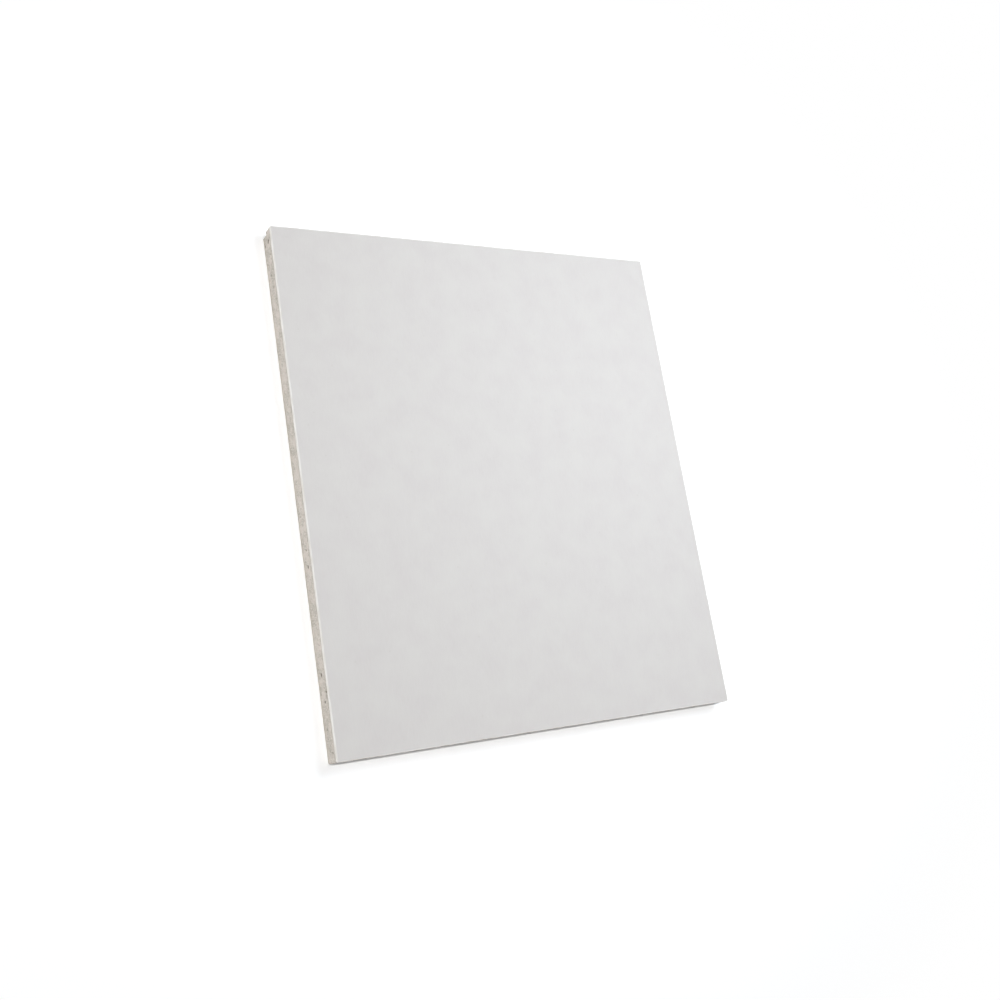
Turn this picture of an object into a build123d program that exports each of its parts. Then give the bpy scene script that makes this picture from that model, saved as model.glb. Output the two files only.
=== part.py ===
from build123d import *
import os

# Cut piece of drywall, lying on its back with its face up.
# Lengths are in millimetres. The origin is the middle of the back, X runs along
# the width, Y along the height, and Z points out of the face.

# Sheet
SHEET_WIDTH = 254.0
SHEET_HEIGHT = 290.0
SHEET_THICKNESS = 12.5
CORNER_RADIUS = 1.0

# Paper liners on the two faces of the gypsum
FACE_LINER_THICKNESS = 1.5
BACK_LINER_THICKNESS = 0.6

# Rebate: the step milled into the back along the top edge. What stays in front
# of it is the lip, and what stays below it is the tongue.
REBATE_WIDTH = 2.4
LIP_THICKNESS = 6.9
REBATE_ROOT_RADIUS = 0.5

# Softened edges of the two liners
FACE_ARRIS_RADIUS = 0.4
BACK_ARRIS_RADIUS = 0.25

# Left end of the sheet, and the top of its lip and of its tongue
LEFT = -SHEET_WIDTH / 2
LIP_TOP = SHEET_HEIGHT / 2
TONGUE_TOP = LIP_TOP - REBATE_WIDTH

# Heights of the layers above the back
CORE_BOTTOM = BACK_LINER_THICKNESS
CORE_TOP = SHEET_THICKNESS - FACE_LINER_THICKNESS
LIP_BOTTOM = SHEET_THICKNESS - LIP_THICKNESS


def sheet_plan():
    """Outline of the whole sheet, seen from the face."""
    return RectangleRounded(SHEET_WIDTH, SHEET_HEIGHT, CORNER_RADIUS)


def tongue_plan():
    """Outline of the sheet without the strip that the rebate takes away."""
    return sheet_plan() & Pos(0, -REBATE_WIDTH) * Rectangle(SHEET_WIDTH, SHEET_HEIGHT)


def layer(plan, bottom, top):
    """Flat layer with the given outline, between two heights."""
    return Pos(0, 0, bottom) * extrude(plan, top - bottom)


def rebate_waste():
    """What one straight pass of the cutter takes away: below the lip, above the tongue, round at its root."""
    hung = (Align.MIN, Align.MAX)
    section = Rectangle(REBATE_WIDTH, LIP_BOTTOM - CORE_BOTTOM, align=hung)
    root = section.vertices().group_by(Axis.Y)[-1].sort_by(Axis.X)[0]
    along_top = Plane(origin=(LEFT, TONGUE_TOP, LIP_BOTTOM), x_dir=(0, 1, 0), z_dir=(1, 0, 0))
    return along_top * extrude(fillet(root, REBATE_ROOT_RADIUS), SHEET_WIDTH)


def gypsum_core():
    """Core, cast in one piece, with the rebate milled off its back."""
    return layer(sheet_plan(), CORE_BOTTOM, CORE_TOP) - rebate_waste()


def face_liner():
    """Liner on the front, with its rim softened."""
    liner = layer(sheet_plan(), CORE_TOP, SHEET_THICKNESS)
    rim = liner.edges().group_by(Axis.Z)[-1]
    return fillet(rim, FACE_ARRIS_RADIUS)


def back_liner():
    """Liner on the back, which ends at the rebate, with its rim softened."""
    liner = layer(tongue_plan(), 0, BACK_LINER_THICKNESS)
    rim = liner.edges().group_by(Axis.Z)[0]
    return fillet(rim, BACK_ARRIS_RADIUS)


os.makedirs("parts", exist_ok=True)
export_step(gypsum_core(), "parts/gypsum_core.step")
export_step(face_liner(), "parts/face_liner.step")
export_step(back_liner(), "parts/back_liner.step")
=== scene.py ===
import math

import bpy
import numpy as np
from mathutils import Matrix, Vector


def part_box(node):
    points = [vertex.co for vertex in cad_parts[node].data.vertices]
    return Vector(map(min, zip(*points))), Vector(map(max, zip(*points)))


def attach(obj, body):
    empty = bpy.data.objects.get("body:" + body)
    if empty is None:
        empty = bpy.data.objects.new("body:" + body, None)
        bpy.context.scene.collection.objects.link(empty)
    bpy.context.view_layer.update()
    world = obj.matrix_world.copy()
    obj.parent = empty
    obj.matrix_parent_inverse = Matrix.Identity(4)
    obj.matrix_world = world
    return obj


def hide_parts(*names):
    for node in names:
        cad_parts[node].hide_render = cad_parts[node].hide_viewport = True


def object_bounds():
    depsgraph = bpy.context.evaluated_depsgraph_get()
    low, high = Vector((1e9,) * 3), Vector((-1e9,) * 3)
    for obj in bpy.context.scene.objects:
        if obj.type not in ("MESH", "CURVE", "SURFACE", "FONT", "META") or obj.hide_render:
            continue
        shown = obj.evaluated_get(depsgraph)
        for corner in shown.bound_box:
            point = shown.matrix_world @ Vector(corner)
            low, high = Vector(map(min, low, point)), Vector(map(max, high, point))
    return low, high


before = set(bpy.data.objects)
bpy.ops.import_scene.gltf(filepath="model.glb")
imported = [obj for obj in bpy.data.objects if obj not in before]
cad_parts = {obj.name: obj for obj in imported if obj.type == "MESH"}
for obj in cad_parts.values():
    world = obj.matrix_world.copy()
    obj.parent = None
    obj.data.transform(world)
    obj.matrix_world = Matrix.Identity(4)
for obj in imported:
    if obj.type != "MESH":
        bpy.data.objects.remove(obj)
cad_low, cad_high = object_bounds()

MM = 0.001

# Sizes of the sheet that the boxes of its nodes don't give
CORNER_RADIUS = 1.0 * MM
LIP_THICKNESS = 6.9 * MM
REBATE_ROOT_RADIUS = 0.5 * MM
FACE_ARRIS_RADIUS = 0.40 * MM
BACK_ARRIS_RADIUS = 0.25 * MM

# Spacing of the points on the cut core, on the paper, on its rim, and on sides that are glued over
CORE_STEP = 0.5 * MM
PAPER_STEP = 1.0 * MM
PAPER_RING_STEP = 3.0 * MM
RIM_RING_STEP = 0.4 * MM
RIM_WIDTH = 1.6 * MM
GLUED_STEP = 30.0 * MM
CORNER_POINTS = 5
ARC_POINTS = 6

# Points as near as this become one, and an edge that turns by more than this stays crisp
WELD_DISTANCE = 0.001 * MM
SHARP_ANGLE = math.radians(50)

# Numbers that mix a cell and a seed into one large angle, and the size of its sine
CELL_MIX = np.array([127.1, 311.7, 74.7])
SEED_MIX = 53.3
SINE_SIZE = 43758.5453

# Seeds of the noises. A set of voids takes four seeds in a row, from the one that is given
GRAIN_SEED = 1
FINER_GRAIN_SEED = 2
FINE_VOIDS_SEED = 11
COARSE_VOIDS_SEED = 21
TORN_SEED = 31
WAVE_SEED = 32
RIPPLE_SEED = 33
FOAM_SEED = 100

# Air voids in the foamed gypsum: their mean distance, and their smallest and largest radius
LARGEST_VOID = 1.05 * MM
FINE_VOIDS = (2.1 * MM, 0.25 * MM, 0.65 * MM)
COARSE_VOIDS = (5.0 * MM, 0.45 * MM, LARGEST_VOID)

# The higher this power, the more of the voids are small
VOID_SIZE_POWER = 3

# The length over which the foam turns from tight to open, the size of a void in the tightest
# foam as a share of its radius, and what the most open foam adds to that share
FOAM_LENGTH = 28.0 * MM
TIGHT_FOAM = 0.5
FOAM_OPENING = 0.85

# Relief of the cut core: sawn roughness, and how far it lies behind the paper beside a glue line
SAWN_DEPTH = 0.10 * MM
SAWN_GRAIN = 1.1 * MM
FINER_GRAIN_SHARE = 0.5
GLUE_LINE_RECESS = 0.18 * MM
GLUE_LINE_WIDTH = 0.9 * MM

# How far from each paper the plaster turns darker
DARKER_BAND_WIDTH = 1.5 * MM

# Relief of the paper: its slightly torn cut edge, and the gentle waves of its outer side with
# the weaker ripples on them
TORN_DEPTH = 0.10 * MM
TORN_GRAIN = 2.2 * MM
WAVE_DEPTH = 0.05 * MM
WAVE_LENGTH = 22.0 * MM
RIPPLES_PER_WAVE = 3
RIPPLE_SHARE = 0.4

# How far in from its edge a paper is painted whiter: whitened by the cut, and on the face also
# a painted highlight on the arris and the flat rim beside it
WHITENED_AND_HIGHLIT_RIM = 0.75 * MM

# Where relief fades out beside a corner and beside the lip's arris, so that both stay crisp
CORNER_FADE = 1.6 * MM
LIP_FADE = 0.8 * MM

# A wall belongs to the top side, which has the rebate, where Y of its inward direction is lower
# than this. A point of a paper lies on its outer side where it is this near to the face or back
TOP_SIDE = -0.5
OUTER_SIDE = 0.01 * MM

# The photograph: its side in pixels, and where it shows the corners of the face
PICTURE_SIDE = 1000
FACE_TOP_LEFT = (269.60, 225.27)
FACE_TOP_RIGHT = (640.37, 261.14)
FACE_BOTTOM_RIGHT = (728.33, 700.91)
FACE_BOTTOM_LEFT = (337.23, 763.04)
SENSOR_WIDTH = 36.0


def smooth_step(value):
    """0 below 0, 1 above 1, and 3v^2 - 2v^3 between."""
    kept = np.clip(value, 0, 1)
    return kept * kept * (3 - 2 * kept)


def lattice_random(cell, seed):
    """One number from 0 to 1 for each whole-numbered cell: the fraction of a large sine."""
    mixed = np.sin(cell @ CELL_MIX + SEED_MIX * seed) * SINE_SIZE
    return mixed - np.floor(mixed)


def soft_noise(points, grain, seed):
    """Smooth noise from 0 to 1: a number at each corner of a cubic lattice, blended in each cell."""
    position = points / grain
    cell = np.floor(position)
    blend = smooth_step(position - cell)
    total = np.zeros(len(points))
    for corner in np.ndindex(2, 2, 2):
        weight = np.prod(np.where(corner, blend, 1 - blend), 1)
        total += weight * lattice_random(cell + corner, seed)
    return total


def void_depth(points, inward, voids, seed):
    """How deep the wall is open where it cuts the air voids.

    Each cell of a lattice holds one sphere at a random place. A sphere that the wall cuts
    leaves a pit that reaches its far side: its centre's depth plus sqrt(r^2 - across^2).
    """
    spacing, smallest, largest = voids
    openness = TIGHT_FOAM + FOAM_OPENING * soft_noise(points, FOAM_LENGTH, FOAM_SEED)
    cell = np.floor(points / spacing)
    deepest = np.zeros(len(points))
    for neighbour in np.ndindex(3, 3, 3):
        home = cell + neighbour - 1
        place = np.stack([lattice_random(home, seed + axis) for axis in range(3)], 1)
        radius = smallest + (largest - smallest) * lattice_random(home, seed + 3) ** VOID_SIZE_POWER
        radius *= openness
        offset = (home + place) * spacing - points
        centre_depth = np.sum(offset * inward, 1)
        room = radius**2 - (np.sum(offset**2, 1) - centre_depth**2)
        is_cut = (room > 0) & (np.abs(centre_depth) < radius)
        reach = centre_depth + np.sqrt(np.maximum(room, 0))
        deepest = np.maximum(deepest, np.where(is_cut, reach, 0))
    return deepest


def outline(low, high, step):
    """Points of the sheet's outline, anticlockwise, and the outward direction at each.

    Each corner is a quarter circle, and each side a row of even steps between two of them.
    """
    left, bottom = low.x + CORNER_RADIUS, low.y + CORNER_RADIUS
    right, top = high.x - CORNER_RADIUS, high.y - CORNER_RADIUS
    centres = np.array([(right, bottom), (right, top), (left, top), (left, bottom)])
    points = []
    directions = []
    for turn, (centre, following) in enumerate(zip(centres, np.roll(centres, -1, 0))):
        angles = (turn - 1) * math.pi / 2 + np.linspace(0, math.pi / 2, CORNER_POINTS)
        arc = np.stack([np.cos(angles), np.sin(angles)], 1)
        count = round(np.linalg.norm(following - centre) / step)
        shares = np.arange(1, count)[:, None] / count
        side = np.repeat(arc[-1:], count - 1, 0)
        points += [centre + CORNER_RADIUS * arc]
        points += [centre + (following - centre) * shares + CORNER_RADIUS * side]
        directions += [arc, side]
    return np.concatenate(points), np.concatenate(directions)


def steps(first, last, step):
    """Even steps from first to last, each about as long as step."""
    return np.linspace(first, last, 1 + max(1, round(abs(last - first) / step)))


def core_section(low, high, cut):
    """Rows of the core: its back, tongue, round root, underside of the lip, lip, and front."""
    half_width = (high.x - low.x) / 2
    lip_bottom = cad_high.z - LIP_THICKNESS
    root = REBATE_ROOT_RADIUS
    rows = [(low.z, inset, cut) for inset in steps(half_width, 0, GLUED_STEP)]
    rows += [(height, 0, cut) for height in steps(low.z, lip_bottom - root, CORE_STEP)[1:]]
    for angle in np.linspace(0, math.pi / 2, ARC_POINTS)[1:]:
        height = lip_bottom - root * (1 - math.sin(angle))
        rows.append((height, 0, cut - root * (1 - math.cos(angle))))
    rows += [(lip_bottom, 0, left) for left in steps(cut - root, 0, CORE_STEP)[1:]]
    rows += [(height, 0, 0) for height in steps(lip_bottom, high.z, CORE_STEP)[1:]]
    rows += [(high.z, inset, 0) for inset in steps(0, half_width, GLUED_STEP)[1:]]
    return rows


def liner_section(glued, outer, half_width, cut, arris):
    """Rows of a liner: its glued side, cut edge, round arris, and outer side."""
    out = math.copysign(1, outer - glued)
    rows = [(glued, inset, cut) for inset in steps(half_width, 0, GLUED_STEP)]
    rows += [(height, 0, cut) for height in steps(glued, outer - out * arris, CORE_STEP)[1:]]
    for angle in np.linspace(0, math.pi / 2, ARC_POINTS)[1:]:
        rows.append((outer - out * arris * (1 - math.sin(angle)), arris * (1 - math.cos(angle)), cut))
    rows += [(outer, inset, cut) for inset in steps(arris, RIM_WIDTH, RIM_RING_STEP)[1:]]
    rows += [(outer, inset, cut) for inset in steps(RIM_WIDTH, half_width, PAPER_RING_STEP)[1:]]
    return rows if out > 0 else rows[::-1]


def layer(name, node, step, section, relief):
    """Closed layer of the sheet: its section carried round the outline, as rows and columns.

    A row of the section is a height, an inset on all sides, and a cut on the top side alone.
    It moves the outline's points inward by the inset and then holds them in the rectangle
    that inset and cut leave, so that the first and last row close on a middle line.
    """
    points, directions = outline(cad_low, cad_high, step)
    heights, insets, cuts = (np.array(column)[:, None] for column in zip(*section))
    moved = points - directions * np.minimum(insets, CORNER_RADIUS)[..., None]
    lowest = np.stack([cad_low.x + insets, cad_low.y + insets], -1)
    highest = np.stack([cad_high.x - insets, cad_high.y - cuts - insets], -1)
    plan = np.clip(moved, lowest, highest)
    from_corner = np.minimum(plan - lowest, highest - plan).max(-1)
    everywhere = np.ones(from_corner.shape)
    grid = np.concatenate([plan, (heights * everywhere)[..., None]], -1).reshape(-1, 3)

    # Points that fall together are kept once, and a four-sided face that loses a corner has three
    keys = np.round(grid / WELD_DISTANCE).astype(np.int64)
    _, kept, merged = np.unique(keys, axis=0, return_index=True, return_inverse=True)
    index = merged.reshape(everywhere.shape)
    following = np.roll(index, -1, 1)
    quads = np.stack([index[:-1], following[:-1], following[1:], index[1:]], -1).reshape(-1, 4)
    distinct = quads != np.roll(quads, -1, 1)
    corners = distinct.sum(1)
    fours = quads[corners == 4]
    threes = quads[corners == 3][distinct[corners == 3]].reshape(-1, 3)

    level = np.concatenate([-directions, np.zeros((len(directions), 1))], 1)
    inward = np.tile(level, (len(section), 1))
    inset = (insets * everywhere).ravel()
    shaped, values = relief(grid[kept], inward[kept], inset[kept], from_corner.ravel()[kept])
    mesh = bpy.data.meshes.new(name)
    mesh.from_pydata(shaped.tolist(), [], [*fours.tolist(), *threes.tolist()])
    for key, value in values.items():
        mesh.attributes.new(key, "FLOAT", "POINT").data.foreach_set("value", value.astype(np.float32))
    mesh.shade_smooth()
    mesh.set_sharp_from_angle(angle=SHARP_ANGLE)
    piece = bpy.data.objects.new(name, mesh)
    bpy.context.scene.collection.objects.link(piece)
    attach(piece, "root")
    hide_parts(node)
    return piece


def sawn_gypsum(points, inward, inset, from_corner):
    """Relief of the cut core: open air voids, sawn roughness, and a recess beside each glue line."""
    low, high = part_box("gypsum_core")
    height = points[:, 2]
    beside_glue = np.minimum(height - low.z, high.z - height)
    recess = GLUE_LINE_RECESS * (1 - smooth_step(beside_glue / GLUE_LINE_WIDTH))
    grain = soft_noise(points, SAWN_GRAIN, GRAIN_SEED)
    grain += FINER_GRAIN_SHARE * soft_noise(points, SAWN_GRAIN / 2, FINER_GRAIN_SEED)
    fine = void_depth(points, inward, FINE_VOIDS, FINE_VOIDS_SEED)
    coarse = void_depth(points, inward, COARSE_VOIDS, COARSE_VOIDS_SEED)
    voids = np.maximum(fine, coarse)
    from_lip = np.abs(height - (cad_high.z - LIP_THICKNESS))
    rebated = inward[:, 1] < TOP_SIDE
    keep = smooth_step(from_corner / CORNER_FADE) * (inset == 0)
    keep *= np.where(rebated, smooth_step(from_lip / LIP_FADE), 1)
    depth = (recess + SAWN_DEPTH * grain / (1 + FINER_GRAIN_SHARE) + voids) * keep
    # How deep each void is, which the material paints in as shade in the pores
    shade = np.clip(voids / LARGEST_VOID, 0, 1) * keep
    return points + inward * depth[:, None], {"pore_painted_shade": shade}


def trimmed_paper(points, inward, inset, from_corner):
    """Relief of a liner: a slightly torn cut edge, and shallow waves of its outer side."""
    torn = TORN_DEPTH * soft_noise(points, TORN_GRAIN, TORN_SEED)
    torn *= smooth_step(from_corner / CORNER_FADE) * (1 - smooth_step(inset / TORN_GRAIN))
    wave = soft_noise(points, WAVE_LENGTH, WAVE_SEED)
    wave += RIPPLE_SHARE * soft_noise(points, WAVE_LENGTH / RIPPLES_PER_WAVE, RIPPLE_SEED)
    wave *= WAVE_DEPTH * smooth_step(inset / WAVE_LENGTH)
    shaped = points + inward * torn[:, None]
    shaped[:, 2] -= wave * (points[:, 2] > cad_high.z - OUTER_SIDE)
    shaped[:, 2] += wave * (points[:, 2] < cad_low.z + OUTER_SIDE)
    # The rim is painted whiter: by the cut, and on the face partly as a painted highlight
    return shaped, {"cut_and_highlit_edge": 1 - smooth_step(inset / WHITENED_AND_HIGHLIT_RIM)}


def camera_on_face(low, high):
    """Camera without shift whose picture has the face's corners where the photograph has them.

    The face's two pairs of sides give two vanishing points. Seen from the lens they are square
    to each other, which gives the focal length, and they lie along the sheet's X and Y. The
    distance follows from the width between the two lower corners.
    """
    half = PICTURE_SIDE / 2
    pixels = np.array([FACE_TOP_LEFT, FACE_TOP_RIGHT, FACE_BOTTOM_RIGHT, FACE_BOTTOM_LEFT])
    top_left, top_right, bottom_right, bottom_left = np.insert(pixels - half, 2, 1, axis=1)
    along_x = np.cross(np.cross(top_left, top_right), np.cross(bottom_left, bottom_right))
    along_y = np.cross(np.cross(top_left, bottom_left), np.cross(top_right, bottom_right))
    along_x /= along_x[2]
    along_y /= along_y[2]
    focal = math.sqrt(-along_x[:2] @ along_y[:2])
    lens = np.array([1, 1, focal])
    x_axis = along_x * lens / np.linalg.norm(along_x * lens)
    y_axis = along_y * lens / np.linalg.norm(along_y * lens)
    axes = np.stack([x_axis, y_axis, np.cross(x_axis, y_axis)])
    rays = np.stack([bottom_left * lens, -bottom_right * lens], 1)
    depth = np.linalg.lstsq(rays, -x_axis * (high.x - low.x), rcond=None)[0][0]
    place = np.array([low.x, low.y, high.z]) - axes @ (bottom_left * lens * depth)
    data = bpy.data.cameras.new("camera")
    data.sensor_width = SENSOR_WIDTH
    data.lens = focal * SENSOR_WIDTH / PICTURE_SIDE
    camera = bpy.data.objects.new("camera", data)
    turned = Matrix((axes * [1, -1, -1]).tolist()).to_4x4()
    camera.matrix_world = Matrix.Translation(place) @ turned
    bpy.context.scene.collection.objects.link(camera)
    bpy.context.scene.camera = camera


# Sockets whose names repeat have numbers: the two inputs of a Math node or Add Shader, a Mix
# node's factor, its two colours and its mixed colour, and a Mix Shader's two shaders
FIRST = 0
SECOND = 1
FACTOR = 0
UNDER = 6
OVER = 7
MIXED = 2
NEAR_SHADER = 1
FAR_SHADER = 2


def linear(hex_colour):
    """Linear colour of an sRGB hex value."""
    srgb = np.array([int(hex_colour[first : first + 2], 16) for first in (1, 3, 5)]) / 255
    curve = np.where(srgb <= 0.04045, srgb / 12.92, ((srgb + 0.055) / 1.055) ** 2.4)
    return (*curve.tolist(), 1.0)


def add(tree, kind, inputs=None, **settings):
    """Adds a node with its settings. An input is a value, an output to link, or a node.

    A node stands for its first output. An input's key is its name or its number.
    """
    node = tree.nodes.new("ShaderNode" + kind)
    for key, value in settings.items():
        setattr(node, key, value)
    for key, value in (inputs or {}).items():
        source = value.outputs[0] if isinstance(value, bpy.types.Node) else value
        if isinstance(source, bpy.types.NodeSocket):
            tree.links.new(source, node.inputs[key])
        else:
            node.inputs[key].default_value = source
    return node


def empty_material(name):
    """New material with an empty node tree."""
    material = bpy.data.materials.new(name)
    material.use_nodes = True
    material.node_tree.nodes.clear()
    return material, material.node_tree


# Face paper: the size of its clouds, the distance between its flecks, how high its fibres stand,
# and how far a ply runs before it thins out
FACE_CLOUD = 14.0 * MM
FACE_FLECK_SPACING = 11.0 * MM
FACE_FIBRE_HEIGHT = 0.03 * MM
PLY_LENGTH = 9.0 * MM

# Real fibres are 0.03 mm wide, so these are drawn about twenty times as coarse, and real plies
# are about 0.05 mm thick, so these are drawn about six times as thick
FACE_FIBRE_WIDTH = 0.7 * MM
FACE_FIBRE_LENGTH = 4.5 * MM
PLY_THICKNESS = 0.3 * MM

# Colours of the face paper and of its cut edge, whose whiteness is partly a painted highlight
FACE_THIN_PULP = "#D2CECB"
FACE_THICK_PULP = "#D5D2CE"
FACE_FIBRE = "#DCD9D7"
FACE_FLECK = "#B1AA9D"
PLY_SEAM = "#DCD7CE"
HIGHLIT_OPENED_PLY = "#F3F1ED"


def calendered_face_paper():
    """Face liner: pale manila paper, pressed smooth between rollers.

    The eye sees a matt, nearly white sheet with faint clouds in the pulp, fibres that lie
    along the machine's run, a faint fleck here and there, and a whiter rim: partly where the cut
    has opened the fibres, and partly a painted highlight on the arris and the flat rim beside it.
    The cut edge shows the plies of the paper as thin lines along the sheet.
    """
    material, tree = empty_material("face_paper_calendered_manila")
    place = add(tree, "TexCoord").outputs["Object"]
    clouds = add(tree, "TexNoise", {"Vector": place, "Scale": 1 / FACE_CLOUD, "Detail": 3.0})
    cloud = add(tree, "MapRange", {"Value": clouds, "From Min": 0.33, "From Max": 0.67})
    pulp = add(
        tree,
        "Mix",
        {FACTOR: cloud, UNDER: linear(FACE_THIN_PULP), OVER: linear(FACE_THICK_PULP)},
        data_type="RGBA",
    )
    lengthwise = (1 / FACE_FIBRE_WIDTH, 1 / FACE_FIBRE_LENGTH, 1 / FACE_FIBRE_WIDTH)
    run = add(tree, "Mapping", {"Vector": place, "Scale": lengthwise})
    fibres = add(tree, "TexNoise", {"Vector": run, "Scale": 1.0, "Detail": 2.0})
    fibre = add(tree, "MapRange", {"Value": fibres, "From Min": 0.30, "From Max": 0.70})
    fibre_shade = add(tree, "MapRange", {"Value": fibre, "To Min": 0.0, "To Max": 0.22})
    laid = add(
        tree,
        "Mix",
        {FACTOR: fibre_shade, UNDER: pulp.outputs[MIXED], OVER: linear(FACE_FIBRE)},
        data_type="RGBA",
    )
    flecks = add(tree, "TexVoronoi", {"Vector": place, "Scale": 1 / FACE_FLECK_SPACING})
    fleck = add(
        tree,
        "MapRange",
        {"Value": flecks, "From Min": 0.03, "From Max": 0.07, "To Min": 0.10, "To Max": 0.0},
    )
    flecked = add(
        tree,
        "Mix",
        {FACTOR: fleck, UNDER: laid.outputs[MIXED], OVER: linear(FACE_FLECK)},
        data_type="RGBA",
    )
    stacked = (1 / PLY_LENGTH, 1 / PLY_LENGTH, 1 / PLY_THICKNESS)
    stack = add(tree, "Mapping", {"Vector": place, "Scale": stacked})
    plies = add(tree, "TexNoise", {"Vector": stack, "Scale": 1.0, "Detail": 2.0})
    ply = add(tree, "MapRange", {"Value": plies, "From Min": 0.35, "From Max": 0.60})
    cut = add(
        tree,
        "Mix",
        {FACTOR: ply, UNDER: linear(PLY_SEAM), OVER: linear(HIGHLIT_OPENED_PLY)},
        data_type="RGBA",
    )
    # The rim is painted whiter, partly as a painted highlight that stands in for light on the arris
    edge = add(tree, "Attribute", attribute_name="cut_and_highlit_edge").outputs["Fac"]
    colour = add(
        tree,
        "Mix",
        {FACTOR: edge, UNDER: flecked.outputs[MIXED], OVER: cut.outputs[MIXED]},
        data_type="RGBA",
    )
    roughness = add(tree, "MapRange", {"Value": fibre, "To Min": 0.62, "To Max": 0.78})
    bump = add(tree, "Bump", {"Height": fibres, "Distance": FACE_FIBRE_HEIGHT, "Strength": 0.35})
    shader = add(
        tree,
        "BsdfPrincipled",
        {
            "Base Color": colour.outputs[MIXED],
            "Roughness": roughness,
            "Normal": bump,
            "IOR": 1.5,
            "Specular IOR Level": 0.25,
        },
    )
    add(tree, "OutputMaterial", {"Surface": shader})
    return material


# Gypsum: the size of its greyer patches. Real crystals are 0.02 mm long, so the grain is drawn
# as coarse as the saw's broken crumbs
GYPSUM_PATCH = 5.0 * MM
CRUMB_SIZE = 0.9 * MM
CRUMB_HEIGHT = 0.25 * MM

# Colours of the gypsum, with the darker plaster beside each paper and the painted shade in its pores
CREAM_PLASTER = "#D6CDC4"
GREYER_PLASTER = "#BAB4A9"
PALE_CRUMB = "#E0DAD2"
PLASTER_BESIDE_PAPER = "#BAB2A8"
PORE_PAINTED_SHADE = "#796F61"


def foamed_gypsum():
    """Core: gypsum plaster, foamed and cast, then sawn.

    The eye sees a chalky cream wall with greyer patches and sugar-like grain. Its open pores
    are darkened with painted shade, and the wall turns a little darker close to each paper.
    """
    material, tree = empty_material("gypsum_foamed_cast_sawn")
    place = add(tree, "TexCoord").outputs["Object"]
    patches = add(tree, "TexNoise", {"Vector": place, "Scale": 1 / GYPSUM_PATCH, "Detail": 2.0})
    patch = add(tree, "MapRange", {"Value": patches, "From Min": 0.40, "From Max": 0.60})
    plaster = add(
        tree,
        "Mix",
        {FACTOR: patch, UNDER: linear(CREAM_PLASTER), OVER: linear(GREYER_PLASTER)},
        data_type="RGBA",
    )
    crumbs = add(tree, "TexNoise", {"Vector": place, "Scale": 1 / CRUMB_SIZE, "Detail": 3.0})
    crumb = add(tree, "MapRange", {"Value": crumbs, "From Min": 0.42, "From Max": 0.66})
    grainy = add(
        tree,
        "Mix",
        {FACTOR: crumb, UNDER: plaster.outputs[MIXED], OVER: linear(PALE_CRUMB)},
        data_type="RGBA",
    )
    low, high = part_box("gypsum_core")
    middle = (low.z + high.z) / 2
    glue_line = high.z - middle
    height = add(tree, "SeparateXYZ", {"Vector": place}).outputs["Z"]
    off_middle = add(tree, "Math", {FIRST: height, SECOND: middle}, operation="SUBTRACT")
    reach = add(tree, "Math", {FIRST: off_middle}, operation="ABSOLUTE")
    # Within this band beside each paper the plaster turns darker
    darker_band = add(
        tree,
        "MapRange",
        {"Value": reach, "From Min": glue_line - DARKER_BAND_WIDTH, "From Max": glue_line, "To Max": 0.7},
    )
    banded = add(
        tree,
        "Mix",
        {FACTOR: darker_band, UNDER: grainy.outputs[MIXED], OVER: linear(PLASTER_BESIDE_PAPER)},
        data_type="RGBA",
    )
    # The pores are painted darker by how deep each void is: painted shade
    pore_shade_amount = add(tree, "Attribute", attribute_name="pore_painted_shade").outputs["Fac"]
    pore_shade = add(tree, "MapRange", {"Value": pore_shade_amount, "From Min": 0.12, "From Max": 0.8})
    colour = add(
        tree,
        "Mix",
        {FACTOR: pore_shade, UNDER: banded.outputs[MIXED], OVER: linear(PORE_PAINTED_SHADE)},
        data_type="RGBA",
    )
    bump = add(tree, "Bump", {"Height": crumbs, "Distance": CRUMB_HEIGHT, "Strength": 0.6})
    shader = add(
        tree,
        "BsdfPrincipled",
        {
            "Base Color": colour.outputs[MIXED],
            "Roughness": 0.92,
            "Normal": bump,
            "IOR": 1.52,
            "Specular IOR Level": 0.15,
        },
    )
    add(tree, "OutputMaterial", {"Surface": shader})
    return material


# Back paper: the size of its clouds, the distance between its flecks, how high its fibres stand,
# and the two directions that they lie in
BACK_CLOUD = 16.0 * MM
BACK_FLECK_SPACING = 7.0 * MM
BACK_FIBRE_HEIGHT = 0.05 * MM
BACK_FIBRE_TURN = math.radians(12)
CROSSING_FIBRE_TURN = math.radians(-35)

# Real fibres are 0.03 mm wide, so these are drawn about twelve times as coarse
BACK_FIBRE_WIDTH = 0.35 * MM
BACK_FIBRE_LENGTH = 4.0 * MM

# Colours of the back paper and of its cut edge
BACK_THIN_PULP = "#ABA59B"
BACK_THICK_PULP = "#B4AEA4"
BACK_FIBRE = "#C6C1B8"
BACK_FLECK = "#6E675C"
BACK_CUT = "#D5D0C6"


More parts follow.
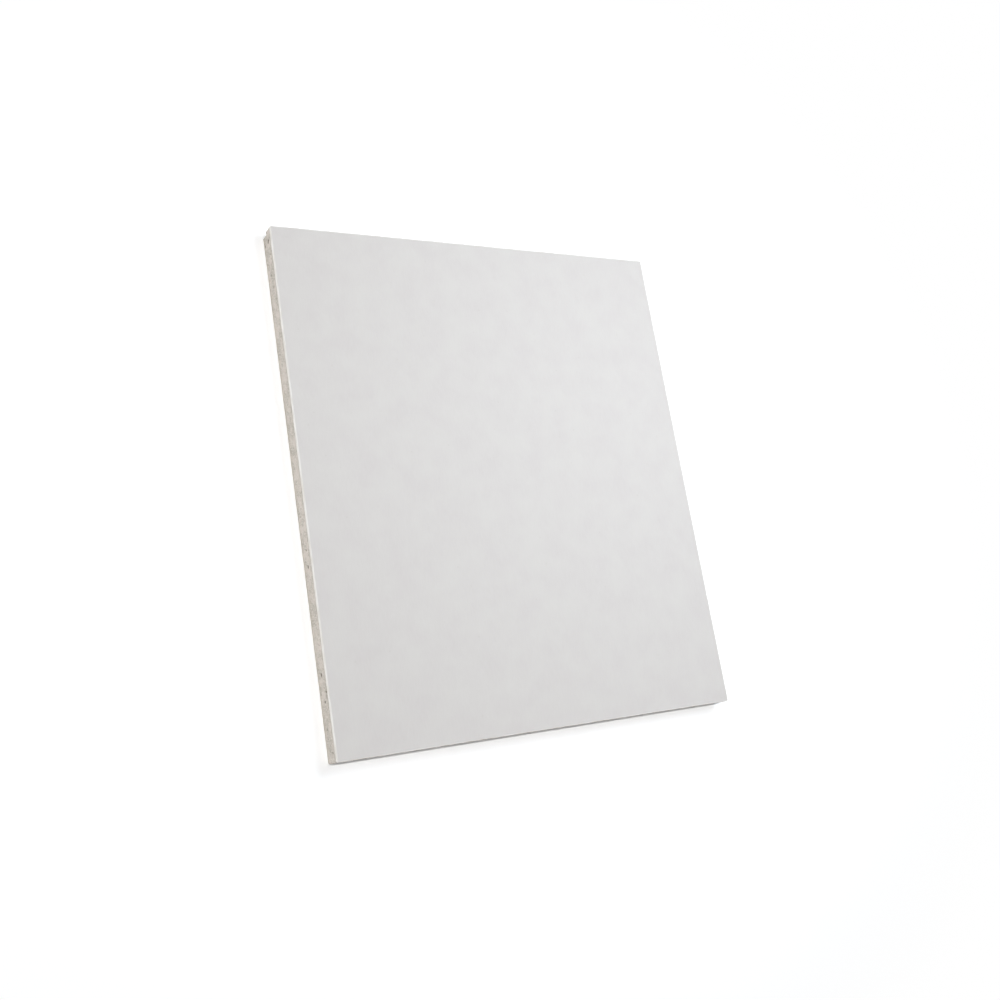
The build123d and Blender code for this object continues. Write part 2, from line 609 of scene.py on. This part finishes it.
def recycled_back_paper():
    """Back liner: grey board, made from recycled paper and left uncoated.

    The eye sees a dull grey-brown sheet, cloudy where the pulp is thicker, with pale fibres
    that lie crosswise over each other, dark flecks of old print, and a soft, rough touch.
    """
    material, tree = empty_material("back_paper_recycled_uncoated")
    place = add(tree, "TexCoord").outputs["Object"]
    clouds = add(tree, "TexNoise", {"Vector": place, "Scale": 1 / BACK_CLOUD, "Detail": 5.0})
    cloud = add(tree, "MapRange", {"Value": clouds, "From Min": 0.35, "From Max": 0.65})
    pulp = add(
        tree,
        "Mix",
        {FACTOR: cloud, UNDER: linear(BACK_THIN_PULP), OVER: linear(BACK_THICK_PULP)},
        data_type="RGBA",
    )
    along = (1 / BACK_FIBRE_WIDTH, 1 / BACK_FIBRE_LENGTH, 1 / BACK_FIBRE_WIDTH)
    run = add(tree, "Mapping", {"Vector": place, "Rotation": (0, 0, BACK_FIBRE_TURN), "Scale": along})
    fibres = add(tree, "TexNoise", {"Vector": run, "Scale": 1.0, "Detail": 2.0})
    slant = add(tree, "Mapping", {"Vector": place, "Rotation": (0, 0, CROSSING_FIBRE_TURN), "Scale": along})
    crossing = add(tree, "TexNoise", {"Vector": slant, "Scale": 1.0, "Detail": 2.0})
    felt = add(tree, "Math", {FIRST: fibres, SECOND: crossing}, operation="MAXIMUM")
    fibre = add(
        tree,
        "MapRange",
        {"Value": felt, "From Min": 0.48, "From Max": 0.72, "To Min": 0.0, "To Max": 0.7},
    )
    laid = add(
        tree,
        "Mix",
        {FACTOR: fibre, UNDER: pulp.outputs[MIXED], OVER: linear(BACK_FIBRE)},
        data_type="RGBA",
    )
    flecks = add(tree, "TexVoronoi", {"Vector": place, "Scale": 1 / BACK_FLECK_SPACING})
    fleck = add(
        tree,
        "MapRange",
        {"Value": flecks, "From Min": 0.04, "From Max": 0.09, "To Min": 0.6, "To Max": 0.0},
    )
    flecked = add(
        tree,
        "Mix",
        {FACTOR: fleck, UNDER: laid.outputs[MIXED], OVER: linear(BACK_FLECK)},
        data_type="RGBA",
    )
    edge = add(tree, "Attribute", attribute_name="cut_and_highlit_edge").outputs["Fac"]
    colour = add(
        tree,
        "Mix",
        {FACTOR: edge, UNDER: flecked.outputs[MIXED], OVER: linear(BACK_CUT)},
        data_type="RGBA",
    )
    bump = add(tree, "Bump", {"Height": felt, "Distance": BACK_FIBRE_HEIGHT, "Strength": 0.4})
    shader = add(
        tree,
        "BsdfPrincipled",
        {
            "Base Color": colour.outputs[MIXED],
            "Roughness": 0.88,
            "Normal": bump,
            "IOR": 1.5,
            "Specular IOR Level": 0.2,
        },
    )
    add(tree, "OutputMaterial", {"Surface": shader})
    return material


# Studio, in metres: how far the floor reaches from the middle of the sheet, and where its own
# shading starts and ends to give way to the white backdrop
FLOOR_HALF_SIDE = 6.0
BACKDROP_STARTS = 0.22
BACKDROP_ENDS = 0.45

# How much lighter the camera sees the floor than the lamps make it, and the light of the room
FLOOR_LIFT = 0.17
ROOM_LIGHT = 0.126

# Colours of the floor and the lamps
WHITE_CARD = "#FCFCFC"
WHITE = "#FFFFFF"
COOL_WHITE = "#EFF6FF"


def shown_to_camera(tree):
    """Node that gives 1 to what the camera sees, straight, mirrored or through glass, and else 0."""
    rays = add(tree, "LightPath").outputs
    direct = {FIRST: rays["Is Camera Ray"], SECOND: rays["Is Glossy Ray"]}
    seen = add(tree, "Math", direct, operation="MAXIMUM")
    return add(tree, "Math", {FIRST: seen, SECOND: rays["Is Transmission Ray"]}, operation="MAXIMUM")


def white_floor():
    """White card under the sheet. Away from the sheet it is seen as pure white, to the horizon."""
    material, tree = empty_material("white_card")
    place = add(tree, "TexCoord").outputs["Object"]
    distance = add(tree, "VectorMath", {FIRST: place}, operation="LENGTH").outputs["Value"]
    backdrop = add(
        tree,
        "MapRange",
        {"Value": distance, "From Min": BACKDROP_STARTS, "From Max": BACKDROP_ENDS},
        interpolation_type="SMOOTHSTEP",
    )
    shown = shown_to_camera(tree)
    white = add(tree, "Math", {FIRST: shown, SECOND: backdrop}, operation="MULTIPLY")
    lift = add(tree, "Math", {FIRST: shown, SECOND: FLOOR_LIFT}, operation="MULTIPLY")
    card = add(tree, "BsdfDiffuse", {"Color": linear(WHITE_CARD)})
    glow = add(tree, "Emission", {"Strength": lift})
    lifted = add(tree, "AddShader", {FIRST: card, SECOND: glow})
    far = add(tree, "Emission", {"Strength": 1.0})
    mixed = add(tree, "MixShader", {FACTOR: white, NEAR_SHADER: lifted, FAR_SHADER: far})
    add(tree, "OutputMaterial", {"Surface": mixed})
    half = FLOOR_HALF_SIDE
    corners = [(-half, -half, 0), (half, -half, 0), (half, half, 0), (-half, half, 0)]
    mesh = bpy.data.meshes.new("studio_floor")
    mesh.from_pydata(corners, [], [(0, 1, 2, 3)])
    mesh.materials.append(material)
    floor = bpy.data.objects.new("studio_floor", mesh)
    bpy.context.scene.collection.objects.link(floor)


def white_room(strength):
    """World: white where it is seen or mirrored, and a weak even light on the sheet."""
    world = bpy.data.worlds.new("white_room")
    world.use_nodes = True
    tree = world.node_tree
    tree.nodes.clear()
    level = add(tree, "MapRange", {"Value": shown_to_camera(tree), "To Min": strength, "To Max": 1.0})
    light = add(tree, "Background", {"Color": linear(WHITE), "Strength": level})
    add(tree, "OutputWorld", {"Surface": light})
    bpy.context.scene.world = world


def softbox(name, place, length, width, power, colour, along):
    """Rectangular lamp, with its place and sides in metres and its power in watts.

    It faces the middle of the sheet, and its length lies along the given direction.
    """
    shine = Vector(place).normalized()
    side = (Vector(along) - shine * shine.dot(Vector(along))).normalized()
    lamp = bpy.data.lights.new(name, "AREA")
    lamp.shape = "RECTANGLE"
    lamp.size = length
    lamp.size_y = width
    lamp.energy = power
    lamp.color = linear(colour)[:3]
    holder = bpy.data.objects.new(name, lamp)
    turned = Matrix((side, shine.cross(side), shine)).transposed().to_4x4()
    holder.matrix_world = Matrix.Translation(place) @ turned
    holder.visible_camera = False
    bpy.context.scene.collection.objects.link(holder)


bpy.context.scene.view_settings.view_transform = "Standard"
camera_on_face(cad_low, cad_high)

core_low, core_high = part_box("gypsum_core")
face_low, face_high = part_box("face_liner")
back_low, back_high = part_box("back_liner")
rebate = cad_high.y - back_high.y
half_width = (cad_high.x - cad_low.x) / 2

core = layer(
    "sawn_core",
    "gypsum_core",
    CORE_STEP,
    core_section(core_low, core_high, rebate),
    sawn_gypsum,
)
core.data.materials.append(foamed_gypsum())
face = layer(
    "face_sheet",
    "face_liner",
    PAPER_STEP,
    liner_section(face_low.z, face_high.z, half_width, 0, FACE_ARRIS_RADIUS),
    trimmed_paper,
)
face.data.materials.append(calendered_face_paper())
back = layer(
    "back_sheet",
    "back_liner",
    PAPER_STEP,
    liner_section(back_high.z, back_low.z, half_width, rebate, BACK_ARRIS_RADIUS),
    trimmed_paper,
)
back.data.materials.append(recycled_back_paper())

white_floor()
white_room(ROOM_LIGHT)

# The key is a narrow strip, high over the sheet and to its left. It keeps the floor on the left
# white, and its shadow under the lower edge is a short, crisp line
softbox(
    "key",
    place=(-0.60, 0.030, 2.5),
    length=1.0,
    width=0.06,
    power=36.0,
    colour=WHITE,
    along=(1, 0, 0),
)
# A near lamp over the upper right part gives the face its slow change from grey to white
softbox(
    "near",
    place=(0.174, 0.0975, 0.45),
    length=0.3,
    width=0.3,
    power=1.43,
    colour=COOL_WHITE,
    along=(1, 0, 0),
)
# A low lamp on the left lights the cut edge
softbox(
    "fill",
    place=(-1.3, -0.1, 0.12),
    length=0.5,
    width=0.2,
    power=4.0,
    colour=WHITE,
    along=(0, 1, 0),
)
